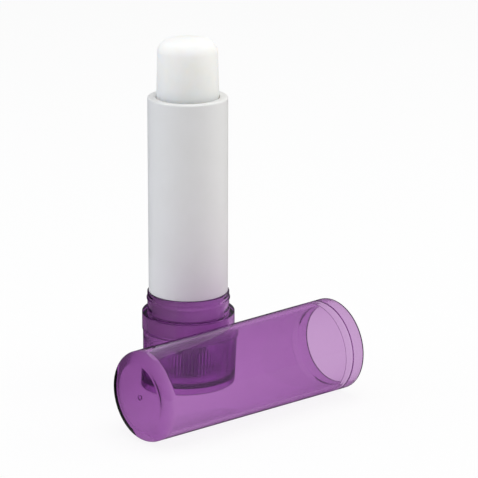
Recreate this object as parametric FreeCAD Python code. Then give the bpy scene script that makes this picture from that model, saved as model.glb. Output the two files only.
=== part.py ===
# Twist-up lip balm stick with its cap taken off, in millimetres.
# The stick stands on its knob at the origin, axis along +Z, with the balm part wound up.
# The cap lies beside it on the same surface, on the -Y side, with its mouth towards +X.
import FreeCAD
import Part
import math
import os
from collections import namedtuple

# Plays shared by all the pieces
running_gap = 0.1        # between pieces that turn or slide on each other
seat_gap = 0.05          # between pieces that are pressed or cast together
edge_bevel = 0.15        # broken edges of the mouldings
overrun = 1.0            # how far a cutting shape reaches past what it cuts
cone_share = 0.1         # slopes that narrow by more than this share of their radius are plain cones

# Barrel: opaque tube, with a thinner, floored spigot at its foot and key grooves in its bore
barrel_d = 16.2
barrel_wall = 1.45
barrel_height = 40.6     # from the neck's top to the rim
barrel_rim_bevel = 0.3
spigot_wall = 0.8
barrel_floor = 1.2       # the spigot's floor, with the spindle's hole
key_count = 4
key_width = 1.4
key_groove_depth = 0.4
key_groove_stop = 9.0    # the grooves end this far below the rim

# Collar: clear ring on the spigot, with a neck for the cap and a skirt over the spindle's disc
neck_step = 0.3          # the neck stands this far proud of the barrel
neck_height = 4.32
bead_height = 0.22       # snap bead for the cap
bead_width = 0.9
bead_rise = 2.8          # bead's middle above the shoulder
flange_ledge = 1.1       # width of the shoulder that the cap's mouth sits on
flange_height = 3.8
shoulder_thickness = 0.5
skirt_wall = 1.1

# Knob: clear knurled cup that turns under the collar
knob_height = 11.95
knob_inset = 0.15        # its wall stands this far inside the flange
knob_wall = 1.1
knob_recess = 1.45       # hollow under its floor
knob_floor = 1.05
knob_foot_bevel = 0.35
boss_wall = 1.0
rib_count = 84
rib_depth = 0.2
rib_valley_width = 0.56
rib_start = 2.6          # ends of the ribbed band, above the foot
rib_end = 10.45

# Spindle: lead screw with a disc that turns in the skirt, drawn at its thread's outside
spindle_d = 4.8
tail_d = 4.6             # corners of the hexagonal tail, which is pressed into the knob
disc_thickness = 1.0     # the disc's top and its rim
snap_ledge = 0.4         # ring that snaps through the barrel's floor and holds the spindle there
snap_height = 0.9        # the ring tapers over this height
spindle_tip_drop = 10.7  # tip below the barrel's rim
spindle_tip_bevel = 0.4

# Carrier: cup that lifts the balm
carrier_stop_gap = 0.3   # left above the snap ring when the balm is down
carrier_floor = 1.2
carrier_height = 6.0
carrier_wall = 0.6
carrier_key_height = 3.0
hub_wall = 0.85
hub_height = 5.2
anchor_count = 3
anchor_width = 0.8       # fins on the carrier's floor that hold the balm's foot
anchor_height = 2.2

# Balm: moulded stick, cast into the carrier
balm_gap = 0.35          # between the balm and the bore at the balm's widest
balm_taper = 0.3         # how much its radius narrows towards the tip
balm_taper_length = 12.5 # from the taper's start to the crown's top
balm_show = 11.9         # crown above the rim, as it stands now
balm_down = 1.0          # crown below the rim when it is wound down
balm_crown = 0.67
balm_edge_rounding = 1.95
balm_hole_gap = 0.3      # round the screw and over its tip

# Cap: clear drafted cup that snaps over the neck
cap_play = 0.12          # round the neck
cap_barrel_play = 0.28   # round the barrel, near the mouth
cap_end_play = 0.15      # round the barrel, at the closed end
cap_headroom = 3.89      # over the barrel's rim when the cap is on
cap_end_wall = 1.35
cap_core_bevel = 1.6     # inner corner of the closed end
cap_inset = 0.06         # its mouth stands this far inside the flange
cap_draft = 0.45         # how much its outside radius narrows from mouth to closed end
cap_corner_rounding = 2.0
cap_mouth_bevel = 0.2
cap_gate_d = 1.0         # moulding gate's stub, inside the closed end
cap_gate_height = 0.4
cap_gap = 1.46           # between the lying cap and the stick's flange
cap_mouth_reach = 21.84  # mouth's plane past the stick's axis

# Radii that the pieces share
barrel_r = barrel_d / 2
bore_r = barrel_r - barrel_wall
spigot_r = bore_r + spigot_wall
neck_r = barrel_r + neck_step
flange_r = neck_r + flange_ledge
knob_r = flange_r - knob_inset
knob_bore_r = knob_r - knob_wall
skirt_r = flange_r - skirt_wall
disc_r = skirt_r - running_gap
spindle_r = spindle_d / 2
tail_r = tail_d / 2
shaft_hole_r = spindle_r + running_gap
hub_bore_r = spindle_r + running_gap
hub_r = hub_bore_r + hub_wall
carrier_r = bore_r - running_gap
balm_foot_r = carrier_r - carrier_wall - seat_gap
balm_r = bore_r - balm_gap
key_r = bore_r + key_groove_depth - running_gap

# Heights that the pieces share, from the surface the stick stands on
flange_z = knob_height + running_gap
shoulder_z = flange_z + flange_height
spigot_z = shoulder_z - shoulder_thickness
barrel_floor_z = spigot_z + barrel_floor
neck_z = shoulder_z + neck_height
rim_z = neck_z + barrel_height
disc_top_z = spigot_z - running_gap
snap_z = barrel_floor_z + running_gap
spindle_tip_z = rim_z - spindle_tip_drop
lift = balm_show + balm_down
carrier_z = snap_z + snap_height + carrier_stop_gap + lift
carrier_floor_z = carrier_z + carrier_floor
carrier_top_z = carrier_z + carrier_height
hub_top_z = carrier_floor_z + hub_height
balm_top_z = rim_z + balm_show

UP = FreeCAD.Vector(0, 0, 1)
ACROSS = FreeCAD.Vector(0, 1, 0)
CENTRE = FreeCAD.Vector(0, 0, 0)
Corner = namedtuple("Corner", "radius height bevel rounding", defaults=(0, 0))


def straight(start, end):
    """Edge between two points; a steep slope is a first-degree spline, which keeps turned walls light."""
    if start.z == end.z or start.x == end.x or abs(start.x - end.x) > cone_share * max(start.x, end.x):
        return Part.LineSegment(start, end).toShape()
    line = Part.BSplineCurve()
    line.buildFromPolesMultsKnots([start, end], [2, 2], [0, 1], False, 1)
    return line.toShape()


def arc(centre, radius, first, last):
    """Arc in the XZ plane; its angles are in degrees, from straight up towards +X."""
    points = []
    for angle in (first, (first + last) / 2, last):
        points.append(centre + FreeCAD.Rotation(ACROSS, angle).multVec(UP * radius))
    return Part.Arc(*points).toShape()


def outline(corners, closing=()):
    """Closed wire through bevelled or rounded corners; closing edges may join the last to the first."""
    points = [FreeCAD.Vector(corner.radius, 0, corner.height) for corner in corners]
    following = points[1:] + points[:1]
    entries = []
    exits = []
    edges = list(closing)
    for index, point in enumerate(points):
        corner = corners[index]
        back = points[index - 1] - point
        ahead = following[index] - point
        half_angle = back.getAngle(ahead) / 2
        reach = corner.bevel + corner.rounding / math.tan(half_angle)
        back.normalize()
        ahead.normalize()
        entries.append(point + back * reach)
        exits.append(point + ahead * reach)
        if corner.rounding:
            depth = corner.rounding / math.sin(half_angle) - corner.rounding
            middle = point + (back + ahead).normalize() * depth
            edges.append(Part.Arc(entries[index], middle, exits[index]).toShape())
        if corner.bevel:
            edges.append(straight(entries[index], exits[index]))
    sides = list(zip(exits, entries[1:] + entries[:1]))
    if closing:
        sides.pop()
    edges += [straight(start, end) for start, end in sides]
    return Part.Wire(Part.sortEdges(edges)[0])


def turned(corners, closing=()):
    """Solid of revolution about Z from an outline."""
    return Part.Face(outline(corners, closing)).revolve(CENTRE, UP, 360)


def rod(radius, bottom, top):
    """Upright cylinder on the stick's axis."""
    return Part.makeCylinder(radius, top - bottom, FreeCAD.Vector(0, 0, bottom))


def hexagon(corner_r, bottom, top):
    """Upright hexagonal bar on the stick's axis."""
    ring = [FreeCAD.Vector(corner_r, 0, bottom)]
    for step in range(6):
        ring.append(FreeCAD.Rotation(UP, 60 * (step + 1)).multVec(ring[0]))
    return Part.Face(Part.makePolygon(ring)).extrude(UP * (top - bottom))


def spokes(count, width, inner, outer, bottom, top):
    """Upright bars spaced evenly round the axis, each reaching from one radius to another."""
    bar = Part.makeBox(outer - inner, width, top - bottom, FreeCAD.Vector(inner, -width / 2, bottom))
    bars = []
    for index in range(count):
        bars.append(bar.rotated(CENTRE, UP, 360 * index / count))
    return Part.makeCompound(bars)


def make_barrel():
    """Tube with a bevelled rim, a floored spigot for the collar and key grooves up its bore."""
    tube = turned([
        Corner(shaft_hole_r, spigot_z),
        Corner(spigot_r, spigot_z),
        Corner(spigot_r, neck_z),
        Corner(barrel_r, neck_z),
        Corner(barrel_r, rim_z, bevel=barrel_rim_bevel),
        Corner(bore_r, rim_z),
        Corner(bore_r, barrel_floor_z),
        Corner(shaft_hole_r, barrel_floor_z),
    ])
    groove_r = bore_r + key_groove_depth
    grooves = spokes(key_count, key_width + 2 * running_gap, spindle_r, groove_r,
                     barrel_floor_z, rim_z - key_groove_stop)
    return tube.cut(grooves)


def make_collar():
    """Neck with its snap bead, shoulder that the cap's mouth sits on, and skirt."""
    socket_r = spigot_r + seat_gap
    bead_z = shoulder_z + bead_rise
    top_z = neck_z - seat_gap
    return turned([
        Corner(socket_r, spigot_z),
        Corner(skirt_r, spigot_z),
        Corner(skirt_r, flange_z),
        Corner(flange_r, flange_z),
        Corner(flange_r, shoulder_z, bevel=edge_bevel),
        Corner(neck_r, shoulder_z),
        Corner(neck_r, bead_z - bead_width / 2),
        Corner(neck_r + bead_height, bead_z),
        Corner(neck_r, bead_z + bead_width / 2),
        Corner(neck_r, top_z, bevel=edge_bevel),
        Corner(socket_r, top_z),
    ])


def make_knob():
    """Knurled cup with a recessed floor and a boss for the spindle's tail."""
    floor_z = knob_recess + knob_floor
    socket_r = tail_r + seat_gap
    boss_r = socket_r + boss_wall
    cup = turned([
        Corner(0, knob_recess),
        Corner(knob_bore_r, knob_recess),
        Corner(knob_bore_r, 0),
        Corner(knob_r, 0, bevel=knob_foot_bevel),
        Corner(knob_r, knob_height, bevel=edge_bevel),
        Corner(knob_bore_r, knob_height),
        Corner(knob_bore_r, floor_z),
        Corner(boss_r, floor_z),
        Corner(boss_r, knob_height),
        Corner(0, knob_height),
    ])
    root = FreeCAD.Vector(knob_r - rib_depth, 0, rib_start)
    right = FreeCAD.Vector(knob_r + rib_depth, -rib_valley_width, rib_start)
    left = FreeCAD.Vector(knob_r + rib_depth, rib_valley_width, rib_start)
    cutter = Part.Face(Part.makePolygon([root, right, left, root])).extrude(UP * (rib_end - rib_start))
    cutters = [hexagon(socket_r, floor_z, knob_height + overrun)]
    for index in range(rib_count):
        cutters.append(cutter.rotated(CENTRE, UP, 360 * index / rib_count))
    return cup.cut(cutters)


def make_spindle():
    """Screw with a snap ring over the barrel's floor, a disc under it and a hexagonal tail for the knob."""
    tail_z = knob_recess + knob_floor + seat_gap
    disc_z = disc_top_z - disc_thickness
    disc_foot_z = flange_z + running_gap
    disc_rim_r = disc_r - disc_thickness
    snap_r = shaft_hole_r + snap_ledge
    shaft = turned([
        Corner(0, disc_z),
        Corner(disc_rim_r, disc_z),
        Corner(disc_rim_r, disc_foot_z),
        Corner(disc_r, disc_foot_z),
        Corner(disc_r, disc_top_z),
        Corner(spindle_r, disc_top_z),
        Corner(spindle_r, snap_z),
        Corner(snap_r, snap_z),
        Corner(spindle_r, snap_z + snap_height),
        Corner(spindle_r, spindle_tip_z, bevel=spindle_tip_bevel),
        Corner(0, spindle_tip_z),
    ])
    return shaft.fuse(hexagon(tail_r, tail_z, disc_z))


def make_carrier():
    """Cup with a hub on the screw, keys for the barrel's grooves and fins that hold the balm."""
    inner_r = carrier_r - carrier_wall
    cup = turned([
        Corner(hub_bore_r, carrier_z),
        Corner(carrier_r, carrier_z),
        Corner(carrier_r, carrier_top_z),
        Corner(inner_r, carrier_top_z),
        Corner(inner_r, carrier_floor_z),
        Corner(hub_r, carrier_floor_z),
        Corner(hub_r, hub_top_z),
        Corner(hub_bore_r, hub_top_z),
    ])
    keys = spokes(key_count, key_width, inner_r + carrier_wall / 2, key_r,
                  carrier_z, carrier_z + carrier_key_height)
    fins = spokes(anchor_count, anchor_width, hub_r - hub_wall / 2, inner_r + carrier_wall / 2,
                  carrier_floor_z - carrier_floor / 2, carrier_floor_z + anchor_height)
    return cup.fuse(keys.Solids + fins.Solids)


def make_balm():
    """Stick with a tapered, crowned tip, cast round the carrier's hub and fins, hollow over the screw."""
    foot_z = carrier_floor_z + seat_gap
    ledge_z = carrier_top_z + seat_gap
    hub_hole_r = hub_r + seat_gap
    hub_hole_z = hub_top_z + seat_gap
    hole_r = spindle_r + balm_hole_gap
    hole_z = spindle_tip_z + lift + balm_hole_gap
    tip_r = balm_r - balm_taper
    edge = balm_edge_rounding
    crown_r = (tip_r ** 2 + balm_crown ** 2) / (2 * balm_crown)
    crown_centre = UP * (balm_top_z - crown_r)
    lean = math.degrees(math.asin((tip_r - edge) / (crown_r - edge)))
    edge_centre = crown_centre + FreeCAD.Rotation(ACROSS, lean).multVec(UP * (crown_r - edge))
    tip = [arc(crown_centre, crown_r, 0, lean), arc(edge_centre, edge, lean, 90)]
    stick = turned([
        Corner(0, balm_top_z),
        Corner(0, hole_z),
        Corner(hole_r, hole_z),
        Corner(hole_r, hub_hole_z),
        Corner(hub_hole_r, hub_hole_z),
        Corner(hub_hole_r, foot_z),
        Corner(balm_foot_r, foot_z),
        Corner(balm_foot_r, ledge_z),
        Corner(balm_r, ledge_z),
        Corner(balm_r, balm_top_z - balm_taper_length),
        Corner(tip_r, edge_centre.z),
    ], tip)
    fins = spokes(anchor_count, anchor_width + 2 * seat_gap, hub_r - hub_wall / 2, balm_r,
                  foot_z - overrun, carrier_floor_z + anchor_height + seat_gap)
    return stick.cut(fins)


def make_cap():
    """Drafted cup with a neck seat, a groove for the bead and a gate stub inside, lying on its side."""
    length = neck_height + barrel_height + cap_headroom + cap_end_wall
    mouth_r = flange_r - cap_inset
    counterbore_r = neck_r + cap_play
    step = neck_height + seat_gap
    end = length - cap_end_wall
    cup = turned([
        Corner(0, length),
        Corner(mouth_r - cap_draft, length, rounding=cap_corner_rounding),
        Corner(mouth_r, 0, bevel=cap_mouth_bevel),
        Corner(counterbore_r, 0, bevel=cap_mouth_bevel),
        Corner(counterbore_r, bead_rise - bead_width / 2),
        Corner(counterbore_r + bead_height, bead_rise),
        Corner(counterbore_r, bead_rise + bead_width / 2),
        Corner(counterbore_r, step),
        Corner(barrel_r + cap_barrel_play, step),
        Corner(barrel_r + cap_end_play, end, bevel=cap_core_bevel),
        Corner(0, end),
    ])
    stub = rod(cap_gate_d / 2, end - cap_gate_height, end + cap_end_wall / 2)
    cup = cup.fuse(stub)
    draft = math.degrees(math.atan(cap_draft / length))
    cup.rotate(CENTRE, ACROSS, -90 - draft)
    beside = -(flange_r + cap_gap + mouth_r)
    cup.translate(FreeCAD.Vector(cap_mouth_reach, beside, mouth_r * math.cos(math.radians(draft))))
    return cup


pieces = {
    "barrel_tube": make_barrel,
    "base_collar": make_collar,
    "turning_knob": make_knob,
    "screw_spindle": make_spindle,
    "carrier_cup": make_carrier,
    "balm_stick": make_balm,
    "cap": make_cap,
}

os.makedirs("parts", exist_ok=True)
for name, make in pieces.items():
    solid = make()
    print(name, "valid" if solid.isValid() else "broken", "solids", len(solid.Solids),
          "volume", round(solid.Volume, 1))
    solid.exportStep("parts/" + name + ".step")
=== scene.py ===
import math
import bmesh
import bpy
from mathutils import Matrix, Vector


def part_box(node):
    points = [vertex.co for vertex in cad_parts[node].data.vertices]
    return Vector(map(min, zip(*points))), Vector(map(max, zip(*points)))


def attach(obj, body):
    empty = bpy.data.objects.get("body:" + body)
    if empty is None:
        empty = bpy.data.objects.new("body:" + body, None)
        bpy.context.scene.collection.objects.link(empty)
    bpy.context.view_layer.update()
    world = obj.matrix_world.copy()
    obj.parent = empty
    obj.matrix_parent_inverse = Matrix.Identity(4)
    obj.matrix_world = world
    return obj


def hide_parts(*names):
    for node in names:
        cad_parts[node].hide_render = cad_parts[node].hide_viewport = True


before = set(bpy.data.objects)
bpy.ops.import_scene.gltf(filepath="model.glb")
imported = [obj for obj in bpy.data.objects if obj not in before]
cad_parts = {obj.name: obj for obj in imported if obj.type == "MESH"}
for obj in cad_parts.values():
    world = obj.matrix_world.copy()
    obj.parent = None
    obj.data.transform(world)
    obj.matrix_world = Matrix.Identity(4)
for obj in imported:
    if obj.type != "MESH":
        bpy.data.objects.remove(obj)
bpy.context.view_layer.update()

# Turning knob: the cup at the stick's foot that winds the balm up, moulded in clear tinted polystyrene.
# Fine upright ribs give it grip between two plain bands. Its floor is recessed, and a boss on the floor
# grips the screw's hexagonal tail.
MM = 0.001


def turned(outline, steps=160):
    """Bmesh of (radius, height, rounding) corners in mm, spun about Z and closed at the axis or on itself."""
    shape = bmesh.new()
    corners = [shape.verts.new((radius * MM, 0, height * MM)) for radius, height, rounding in outline]
    ends_on_axis = outline[0][0] == outline[-1][0] == 0
    ahead = corners[1:] if ends_on_axis else corners[1:] + corners[:1]
    for start, end in zip(corners, ahead):
        shape.edges.new((start, end))
    for corner, (radius, height, rounding) in zip(corners, outline):
        if rounding:
            bmesh.ops.bevel(shape, geom=[corner], offset=rounding * MM, offset_type='OFFSET',
                            affect='VERTICES', segments=max(4, math.ceil(rounding * 8)), profile=0.5,
                            material=-1)
    bmesh.ops.spin(shape, geom=shape.verts[:] + shape.edges[:], cent=(0, 0, 0), axis=(0, 0, 1),
                   angle=math.tau, steps=steps, use_merge=True)
    bmesh.ops.remove_doubles(shape, verts=shape.verts, dist=MM / 1000)
    bmesh.ops.recalc_face_normals(shape, faces=shape.faces)
    return shape


def hexagonal(vert):
    """Share of its radius that puts a turned vertex on a hexagon's flats."""
    turn = math.atan2(vert.co.y, vert.co.x)
    return math.cos(math.radians(30)) / math.cos(turn % math.radians(60) - math.radians(30))


def piece(name, shape, material, body, node):
    """Object of a bmesh: it wears a material, rides on a body and stands for a node of the frame."""
    mesh = bpy.data.meshes.new(name)
    shape.to_mesh(mesh)
    shape.free()
    mesh.shade_smooth()
    mesh.set_sharp_from_angle(angle=math.radians(40))
    mesh.materials.append(material)
    thing = bpy.data.objects.new(name, mesh)
    bpy.context.scene.collection.objects.link(thing)
    walls = thing.modifiers.new("even_walls", 'WEIGHTED_NORMAL')
    walls.keep_sharp = True
    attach(thing, body)
    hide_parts(node)
    return thing


def linear(code):
    """Linear colour of an sRGB hex value."""
    shares = [int(code[place:place + 2], 16) / 255 for place in (1, 3, 5)]
    return [share / 12.92 if share <= 0.04045 else ((share + 0.055) / 1.055) ** 2.4
            for share in shares] + [1]


def bare_material(name):
    """Material with an empty node tree."""
    material = bpy.data.materials.new(name)
    material.use_nodes = True
    material.node_tree.nodes.clear()
    return material


def add_node(tree, kind, sockets={}, **settings):
    """Adds a node with its own settings; a socket gets a value or a link from another node's socket."""
    node = tree.nodes.new(kind)
    for name, value in settings.items():
        setattr(node, name, value)
    for name, value in sockets.items():
        if isinstance(value, bpy.types.NodeSocket):
            tree.links.new(value, node.inputs[name])
        else:
            node.inputs[name].default_value = value
    return node


# Clear tinted polystyrene, injection moulded in a polished tool: bright edges, clean reflections and a
# purple that deepens with the wall's thickness. About half the tint is at the surface, so that a long way
# through the wall isn't black. Faint flow ripples and handling haze keep it from looking like glass.
clear_plastic = bare_material("clear_purple_polystyrene")
tree = clear_plastic.node_tree
place = add_node(tree, "ShaderNodeTexCoord").outputs["Object"]
haze = add_node(tree, "ShaderNodeTexNoise", {"Vector": place, "Scale": 1 / (5 * MM), "Detail": 3.0})
haze_range = add_node(tree, "ShaderNodeMapRange", {
    "Value": haze.outputs["Fac"], "From Min": 0.35, "From Max": 0.75, "To Min": 0.02, "To Max": 0.05})
ripple = add_node(tree, "ShaderNodeTexNoise", {"Vector": place, "Scale": 1 / (8 * MM), "Detail": 1.0})
ripple_bump = add_node(tree, "ShaderNodeBump", {
    "Height": ripple.outputs["Fac"], "Strength": 0.15, "Distance": 0.02 * MM})
plastic = add_node(tree, "ShaderNodeBsdfPrincipled", {
    "Base Color": linear("#E7CFEB"), "Roughness": haze_range.outputs["Result"], "IOR": 1.55,
    "Transmission Weight": 1.0, "Normal": ripple_bump.outputs["Normal"]})
tint = add_node(tree, "ShaderNodeVolumeAbsorption", {"Color": linear("#C100CB"), "Density": 470.0})
add_node(tree, "ShaderNodeOutputMaterial", {
    "Surface": plastic.outputs["BSDF"], "Volume": tint.outputs["Volume"]})

knob_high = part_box("turning_knob")[1]
knob_r = knob_high.x / MM
knob_top = knob_high.z / MM
knob_bore = knob_r - 1.1
recess = 1.45
knob_floor = 2.5
socket_r = 2.35
boss_r = socket_r + 1
rib_low, rib_high = 2.6, 10.45
rib_end = 0.2
rib_depth = 0.1
rib_count = 84
near = 0.01
knob = turned([
    (0, recess, 0), (knob_bore, recess, 0.15), (knob_bore, 0, 0.15), (knob_r, 0, 0.5),
    (knob_r, rib_low, 0), (knob_r, rib_low + rib_end, 0), (knob_r, rib_high - rib_end, 0),
    (knob_r, rib_high, 0), (knob_r, knob_top, 0.15), (knob_bore, knob_top, 0.1),
    (knob_bore, knob_floor, 0.5), (boss_r, knob_floor, 0.4), (boss_r, knob_top, 0.15),
    (socket_r, knob_top, 0), (socket_r, knob_floor, 0), (0, knob_floor, 0)], steps=504)
for vert in knob.verts:
    radius = vert.co.xy.length / MM
    height = vert.co.z / MM
    if radius > knob_r - near and rib_low + rib_end / 2 < height < rib_high - rib_end / 2:
        turn = math.atan2(vert.co.y, vert.co.x)
        vert.co.xy *= 1 - rib_depth * (0.5 - 0.5 * math.cos(rib_count * turn)) / knob_r
    if abs(radius - socket_r) < near:
        vert.co.xy *= hexagonal(vert)
piece("knurled_knob", knob, clear_plastic, "knob", "turning_knob")

# Collar: the ring that the cap snaps onto, moulded in the same clear polystyrene and pressed onto the
# barrel's spigot. Its neck carries a fine snap bead, and its skirt covers the screw's disc.
collar_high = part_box("base_collar")[1]
flange_r = collar_high.x / MM
collar_top = collar_high.z / MM
neck_r = 8.4
collar_bore = 7.5
skirt_bore = flange_r - 1.1
skirt_bottom = 12.05
shoulder = 15.85
shoulder_under = shoulder - 0.5
bead = shoulder + 2.8
bead_rise = 0.22
bead_half = 0.45
collar = turned([
    (collar_bore, collar_top, 0.1), (collar_bore, shoulder_under, 0.1), (skirt_bore, shoulder_under, 0.1),
    (skirt_bore, skirt_bottom, 0.1), (flange_r, skirt_bottom, 0.15), (flange_r, shoulder, 0.1),
    (neck_r, shoulder, 0.1), (neck_r, bead - bead_half, 0.24), (neck_r + bead_rise, bead, 0.24),
    (neck_r, bead + bead_half, 0.24), (neck_r, collar_top, 0.15)])
piece("snap_collar", collar, clear_plastic, "stick", "base_collar")

# Barrel: the tube round the balm, moulded in opaque white polypropylene. A thinner spigot at its foot holds
# the collar and ends in a floor that the screw snaps through. Four grooves in its bore keep the balm's
# carrier from turning.
# White polypropylene from a lightly textured tool: a satin sheen over a fine grain, faintly clouded.
white_satin = bare_material("white_satin_polypropylene")
tree = white_satin.node_tree
place = add_node(tree, "ShaderNodeTexCoord").outputs["Object"]
cloud = add_node(tree, "ShaderNodeTexNoise", {"Vector": place, "Scale": 1 / (6 * MM), "Detail": 3.0})
whites = add_node(tree, "ShaderNodeMix", {
    "Factor": cloud.outputs["Fac"], "A": linear("#E9E9E7"), "B": linear("#EEEEEE")}, data_type='RGBA')
grain = add_node(tree, "ShaderNodeTexNoise", {"Vector": place, "Scale": 1 / (0.25 * MM), "Detail": 2.0})
grain_bump = add_node(tree, "ShaderNodeBump", {
    "Height": grain.outputs["Fac"], "Strength": 0.1, "Distance": 0.01 * MM})
gloss = add_node(tree, "ShaderNodeMapRange", {
    "Value": cloud.outputs["Fac"], "To Min": 0.36, "To Max": 0.46})
satin = add_node(tree, "ShaderNodeBsdfPrincipled", {
    "Base Color": whites.outputs["Result"], "Roughness": gloss.outputs["Result"], "IOR": 1.49,
    "Normal": grain_bump.outputs["Normal"]})
add_node(tree, "ShaderNodeOutputMaterial", {"Surface": satin.outputs["BSDF"]})

barrel_low, barrel_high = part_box("barrel_tube")
barrel_r = barrel_high.x / MM
rim = barrel_high.z / MM
foot = barrel_low.z / MM
barrel_step = collar_top + 0.05
barrel_floor = foot + 1.2
spigot_r = 7.45
bore = 6.65
mouth_bore = 6.45
shaft_hole = 2.5
groove_r = 7.05
groove_end = rim - 9
groove_run = 0.2
groove_half_turn = 8
barrel = turned([
    (shaft_hole, foot, 0), (spigot_r, foot, 0.2), (spigot_r, barrel_step, 0),
    (barrel_r, barrel_step, 0.12), (barrel_r, rim, 0.35), (mouth_bore, rim, 0.12),
    (mouth_bore, rim - 1.5, 0), (bore, rim - 7, 0), (bore, groove_end, 0),
    (bore, groove_end - groove_run, 0), (bore, barrel_floor, 0), (shaft_hole, barrel_floor, 0)], steps=192)
for vert in barrel.verts:
    turn = math.degrees(math.atan2(vert.co.y, vert.co.x))
    on_bore = abs(vert.co.xy.length / MM - bore) < near
    in_groove = abs((turn + 45) % 90 - 45) < groove_half_turn
    if on_bore and in_groove and vert.co.z / MM < groove_end - groove_run / 2:
        vert.co.xy *= groove_r / bore
piece("white_barrel", barrel, white_satin, "stick", "barrel_tube")

# Screw: the lift's lead screw, moulded in plain white polypropylene. Its left-hand thread climbs 4 mm a
# turn, its ring snaps over the barrel's floor, its disc turns under the collar's skirt, and the knob drives
# its hexagonal tail.
# Plain white polypropylene from a bare tool: a duller sheen than the barrel's, with faint flow clouds.
plain_white = bare_material("plain_white_polypropylene")
tree = plain_white.node_tree
place = add_node(tree, "ShaderNodeTexCoord").outputs["Object"]
flow = add_node(tree, "ShaderNodeTexNoise", {"Vector": place, "Scale": 1 / (3 * MM), "Detail": 2.0})
shades = add_node(tree, "ShaderNodeMix", {
    "Factor": flow.outputs["Fac"], "A": linear("#EAEAE6"), "B": linear("#F0F0EE")}, data_type='RGBA')
dull = add_node(tree, "ShaderNodeMapRange", {
    "Value": flow.outputs["Fac"], "To Min": 0.45, "To Max": 0.55})
moulded = add_node(tree, "ShaderNodeBsdfPrincipled", {
    "Base Color": shades.outputs["Result"], "Roughness": dull.outputs["Result"], "IOR": 1.49})
add_node(tree, "ShaderNodeOutputMaterial", {"Surface": moulded.outputs["BSDF"]})

screw_low, screw_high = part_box("screw_spindle")
disc_r = screw_high.x / MM
tip = screw_high.z / MM
tail = screw_low.z / MM
tail_r = 2.3
disc_top = foot - 0.1
disc_under = disc_top - 1
disc_low = skirt_bottom + 0.1
crest_r = 2.4
core_r = 1.95
ring = foot + 1.3
screw = turned([
    (0, tail, 0), (tail_r, tail, 0), (tail_r, disc_under, 0), (disc_r - 1, disc_under, 0.2),
    (disc_r - 1, disc_low, 0.1), (disc_r, disc_low, 0.1), (disc_r, disc_top, 0.1),
    (crest_r, disc_top, 0.15), (crest_r, ring, 0), (crest_r + 0.5, ring, 0.05),
    (crest_r, ring + 0.9, 0.1), (core_r, ring + 1.2, 0), (core_r, tip, 0.3), (0, tip, 0)], steps=144)
for vert in screw.verts:
    on_tail = abs(vert.co.xy.length / MM - tail_r) < near
    if on_tail and vert.co.z / MM < disc_under + 0.1:
        vert.co.xy *= hexagonal(vert)
lead = 4.0
thread_low = ring + 1.5
thread_high = tip - 1.2
thread_foot = core_r - 0.1
turns = (thread_high - thread_low) / lead
thread_steps = round(turns * 40)
ridge = bmesh.new()
ridge_outline = ((thread_foot, -0.75), (crest_r, -0.3), (crest_r, 0.3), (thread_foot, 0.75))
ridge_face = ridge.faces.new([
    ridge.verts.new((radius * MM, 0, (thread_low + rise) * MM)) for radius, rise in ridge_outline])
bmesh.ops.spin(ridge, geom=[ridge_face], cent=(0, 0, 0), axis=(0, 0, -1), angle=turns * math.tau,
               steps=thread_steps, dvec=(0, 0, lead * MM * turns / thread_steps))
bmesh.ops.recalc_face_normals(ridge, faces=ridge.faces)
ridge_mesh = bpy.data.meshes.new("thread_ridge")
ridge.to_mesh(ridge_mesh)
ridge.free()
screw.from_mesh(ridge_mesh)
bpy.data.meshes.remove(ridge_mesh)
piece("lead_screw", screw, plain_white, "knob", "screw_spindle")

# Carrier: the cup that lifts the balm, a plain white polypropylene moulding on the screw, with keys in the
# barrel's grooves. The barrel hides it, so the frame's own solid stays and only gets its material.
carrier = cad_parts["carrier_cup"]
carrier.data.materials.clear()
carrier.data.materials.append(plain_white)

# Balm: a cast stick of hard wax with a slightly tapered side and a crowned tip, part wound up.
# Its foot is cast into the carrier's cup, and a hollow up its middle leaves room for the screw.
# Wax that set against a polished mould: a smooth, faintly clouded skin that light sinks into.
wax = bare_material("cast_balm_wax")
tree = wax.node_tree
place = add_node(tree, "ShaderNodeTexCoord").outputs["Object"]
cloud = add_node(tree, "ShaderNodeTexNoise", {"Vector": place, "Scale": 1 / (4 * MM), "Detail": 4.0})
waxes = add_node(tree, "ShaderNodeMix", {
    "Factor": cloud.outputs["Fac"], "A": linear("#F6F4EE"), "B": linear("#FBFAF7")}, data_type='RGBA')
skin = add_node(tree, "ShaderNodeTexNoise", {"Vector": place, "Scale": 1 / (1.2 * MM), "Detail": 3.0})
skin_bump = add_node(tree, "ShaderNodeBump", {
    "Height": skin.outputs["Fac"], "Strength": 0.15, "Distance": 0.03 * MM})
gloss = add_node(tree, "ShaderNodeMapRange", {
    "Value": skin.outputs["Fac"], "To Min": 0.42, "To Max": 0.55})
balm_skin = add_node(tree, "ShaderNodeBsdfPrincipled", {
    "Base Color": waxes.outputs["Result"], "Roughness": gloss.outputs["Result"], "IOR": 1.44,
    "Subsurface Weight": 1.0, "Subsurface Scale": 5 * MM, "Subsurface Radius": (1.0, 0.9, 0.8),
    "Normal": skin_bump.outputs["Normal"]})
add_node(tree, "ShaderNodeOutputMaterial", {"Surface": balm_skin.outputs["BSDF"]})

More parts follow.
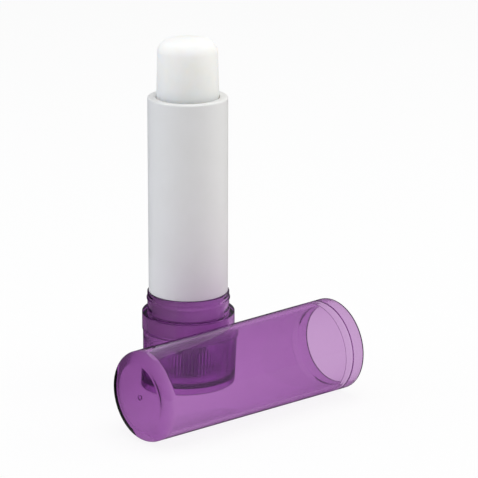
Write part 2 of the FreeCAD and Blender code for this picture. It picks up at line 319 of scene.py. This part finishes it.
balm_low, balm_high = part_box("balm_stick")
balm_r = balm_high.x / MM
balm_top = balm_high.z / MM
balm_foot = balm_low.z / MM
cup_lip = balm_foot + 4.8
plug_r = 5.9
hub_top = balm_foot + 5.2
hub_hole = 3.4
screw_hole = 2.7
screw_room = tip + 13.2
taper_start = balm_top - 12.5
crown_start = balm_top - 0.75
balm = turned([
    (0, screw_room, 0), (screw_hole, screw_room, 0.3), (screw_hole, hub_top, 0), (hub_hole, hub_top, 0),
    (hub_hole, balm_foot, 0), (plug_r, balm_foot, 0), (plug_r, cup_lip, 0), (balm_r, cup_lip, 0.1),
    (balm_r, taper_start, 1.0), (balm_r - 0.3, crown_start, 1.95), (2.4, balm_top, 2.0),
    (0, balm_top, 0)])
piece("cast_balm", balm, wax, "balm", "balm_stick")

# Cap: a long drafted cup moulded in the same clear polystyrene, taken off and lying on its side.
# It has a rounded closed end with the moulding gate's stub inside, a seat for the collar's neck and a
# groove for its bead.
cap_low, cap_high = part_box("cap")
cap_length = 50.16
mouth_x = 21.84
mouth_r = 9.44
cap_taper = 0.45
end_r = mouth_r - cap_taper
seat_r = 8.52
seat_depth = 4.37
bead_groove = 2.8
cap_bore, cap_bore_end = 8.38, 8.25
cap_end = cap_length - 1.35
gate_r = 0.5
gate_end = cap_end - 0.4
cap = turned([
    (0, cap_length, 0), (end_r, cap_length, 2.0), (mouth_r, 0, 0.25), (seat_r, 0, 0.25),
    (seat_r, bead_groove - bead_half, 0.1), (seat_r + bead_rise, bead_groove, 0.15),
    (seat_r, bead_groove + bead_half, 0.1), (seat_r, seat_depth, 0.1), (cap_bore, seat_depth, 0.05),
    (cap_bore_end, cap_end, 1.7), (gate_r, cap_end, 0.05), (gate_r, gate_end, 0.15),
    (0, gate_end, 0)], steps=192)
draft = math.atan(cap_taper / cap_length)
bmesh.ops.rotate(cap, verts=cap.verts, cent=(0, 0, 0),
                 matrix=Matrix.Rotation(-math.pi / 2 - draft, 3, 'Y'))
cap_spot = Vector((mouth_x, (cap_low.y + cap_high.y) / 2 / MM, mouth_r * math.cos(draft))) * MM
bmesh.ops.translate(cap, verts=cap.verts, vec=cap_spot)
piece("clear_cap", cap, clear_plastic, "loose_cap", "cap")

# Floor: a plain pale table top. Seen outright it is nearly white and keeps the object's soft shadow.
# Seen through the plastic it glows with painted light, dimmer to the left by painted shade.
# In reflections it shows a painted grey shade, darkest to the back and left, in place of a dark card.
floor_mesh = bpy.data.meshes.new("studio_floor")
floor_shape = bmesh.new()
bmesh.ops.create_grid(floor_shape, x_segments=1, y_segments=1, size=3.0)
floor_shape.to_mesh(floor_mesh)
floor_shape.free()
floor = bpy.data.objects.new("studio_floor", floor_mesh)
bpy.context.scene.collection.objects.link(floor)

# The set's own directions, as the photographer stands: to the right, away and up.
right = Vector((0.77756, -0.62881, 0))
away = Vector((0.62881, 0.77756, 0))
up = Vector((0, 0, 1))

paper = bare_material("white_table_paper")
tree = paper.node_tree
path = add_node(tree, "ShaderNodeLightPath")
place = add_node(tree, "ShaderNodeTexCoord").outputs["Object"]
# Painted shade in reflections: for mirrored rays the floor's colour turns grey, darkest to the back and left.
nearness = add_node(tree, "ShaderNodeVectorMath", {0: place, 1: right * 0.8 - away * 0.6},
                    operation='DOT_PRODUCT')
card_shade_mask = add_node(tree, "ShaderNodeMapRange", {
    "Value": nearness.outputs["Value"], "From Min": 0.015, "From Max": -0.015, "To Min": 0.0,
    "To Max": 1.0})
painted_reflection_shade = add_node(tree, "ShaderNodeMix", {
    "Factor": card_shade_mask.outputs[0], "A": linear("#989898"), "B": linear("#303030")}, data_type='RGBA')
mirrored = add_node(tree, "ShaderNodeMath", {
    0: path.outputs["Is Glossy Ray"], 1: path.outputs["Is Transmission Ray"]},
    operation='SUBTRACT', use_clamp=True)
paper_and_reflection_shade = add_node(tree, "ShaderNodeMix", {
    "Factor": mirrored.outputs[0], "A": linear("#F2F2F2"), "B": painted_reflection_shade.outputs["Result"]},
    data_type='RGBA')
matt = add_node(tree, "ShaderNodeBsdfDiffuse", {"Color": paper_and_reflection_shade.outputs["Result"]})
# Painted light: rays that passed the plastic see the floor glow, with painted shade dimming it to the left.
sideways = add_node(tree, "ShaderNodeVectorMath", {0: place, 1: right}, operation='DOT_PRODUCT')
shaded = add_node(tree, "ShaderNodeMapRange", {
    "Value": sideways.outputs["Value"], "From Min": -0.040, "From Max": -0.006, "To Min": 0.3,
    "To Max": 0.9})
glow_and_painted_shade = add_node(tree, "ShaderNodeMix", {
    "Factor": path.outputs["Is Camera Ray"], "A": shaded.outputs["Result"], "B": 1.0})
glow = add_node(tree, "ShaderNodeEmission", {
    "Color": linear("#FFFFFF"), "Strength": glow_and_painted_shade.outputs["Result"]})
outright = add_node(tree, "ShaderNodeMath", {0: path.outputs["Is Camera Ray"], 1: 0.88},
                    operation='MULTIPLY')
share = add_node(tree, "ShaderNodeMath", {
    0: path.outputs["Is Transmission Ray"], 1: outright.outputs[0]}, operation='MAXIMUM')
blend = add_node(tree, "ShaderNodeMixShader", {
    "Fac": share.outputs[0], 1: matt.outputs[0], 2: glow.outputs[0]})
add_node(tree, "ShaderNodeOutputMaterial", {"Surface": blend.outputs[0]})
floor_mesh.materials.append(paper)

# Light: a white room that lights the object at a plain level. Reflections find it brightest at the back and
# right, and light that has passed the plastic finds it dimmer to the left. Soft boxes stand at both sides
# and overhead, and don't show in reflections.
world = bpy.data.worlds.new("white_studio")
bpy.context.scene.world = world
world.use_nodes = True
tree = world.node_tree
tree.nodes.clear()
path = add_node(tree, "ShaderNodeLightPath")
direction = add_node(tree, "ShaderNodeTexCoord").outputs["Object"]
facing = add_node(tree, "ShaderNodeVectorMath", {0: direction, 1: right * 0.8 + away * 0.6},
                  operation='DOT_PRODUCT')
sheen = add_node(tree, "ShaderNodeMapRange", {
    "Value": facing.outputs["Value"], "From Min": 0.45, "From Max": 1.0, "To Min": 0.05, "To Max": 0.5})
glossy = add_node(tree, "ShaderNodeMix", {
    "Factor": path.outputs["Is Glossy Ray"], "A": 0.46, "B": sheen.outputs["Result"]})
across = add_node(tree, "ShaderNodeVectorMath", {0: direction, 1: right}, operation='DOT_PRODUCT')
beyond = add_node(tree, "ShaderNodeMapRange", {
    "Value": across.outputs["Value"], "From Min": -0.9, "From Max": 0.1, "To Min": 0.3, "To Max": 1.15})
through = add_node(tree, "ShaderNodeMix", {
    "Factor": path.outputs["Is Transmission Ray"], "A": glossy.outputs["Result"],
    "B": beyond.outputs["Result"]})
level = add_node(tree, "ShaderNodeMix", {
    "Factor": path.outputs["Is Camera Ray"], "A": through.outputs["Result"], "B": 1.0})
room = add_node(tree, "ShaderNodeBackground", {
    "Color": linear("#FFFFFF"), "Strength": level.outputs["Result"]})
add_node(tree, "ShaderNodeOutputWorld", {"Surface": room.outputs[0]})

lit_spot = up * 0.035
for name, spot, width, height, power, colour in (
        ("left_box", right * -0.55 + away * -0.05 + up * 0.25, 0.4, 0.5, 0.95, "#E6EFFF"),
        ("right_box", right * 0.55 + away * 0.10 + up * 0.25, 0.4, 0.5, 0.95, "#FFFDF6"),
        ("top_box", right * 0.05 + away * -0.05 + up * 0.65, 0.5, 0.5, 2.25, "#FFFFFF")):
    lamp = bpy.data.lights.new(name, 'AREA')
    lamp.shape = 'RECTANGLE'
    lamp.size = width
    lamp.size_y = height
    lamp.energy = power
    lamp.color = linear(colour)[:3]
    box = bpy.data.objects.new(name, lamp)
    box.location = spot
    box.rotation_mode = 'QUATERNION'
    box.rotation_quaternion = (lit_spot - spot).to_track_quat('-Z', 'Y')
    box.visible_glossy = False
    box.visible_transmission = False
    bpy.context.scene.collection.objects.link(box)

# Camera: a long lens in front of the table, looking down on the stick at about 17 degrees.
lens = bpy.data.cameras.new("product_camera")
lens.sensor_width = 36.0
lens.lens = 181.006
lens.clip_start = 0.01
lens.clip_end = 20.0
camera = bpy.data.objects.new("product_camera", lens)
camera_spot = (-0.286225, -0.370383, 0.172648)
pitch = math.radians(16.8395)
roll = math.radians(0.1965)
look = away * math.cos(pitch) - up * math.sin(pitch)
head = away * math.sin(pitch) + up * math.cos(pitch)
side = right * math.cos(roll) + head * math.sin(roll)
head = head * math.cos(roll) - right * math.sin(roll)
aim = Matrix((side, head, -look)).transposed()
camera.matrix_world = Matrix.Translation(camera_spot) @ aim.to_4x4()
bpy.context.scene.collection.objects.link(camera)
bpy.context.scene.camera = camera

# Rendering: enough bounces for light to pass the cap's and the knob's walls and to run on inside them.
scene = bpy.context.scene
scene.view_settings.view_transform = 'Standard'
scene.cycles.max_bounces = 24
scene.cycles.transmission_bounces = 24
scene.cycles.glossy_bounces = 24
scene.cycles.blur_glossy = 0.0
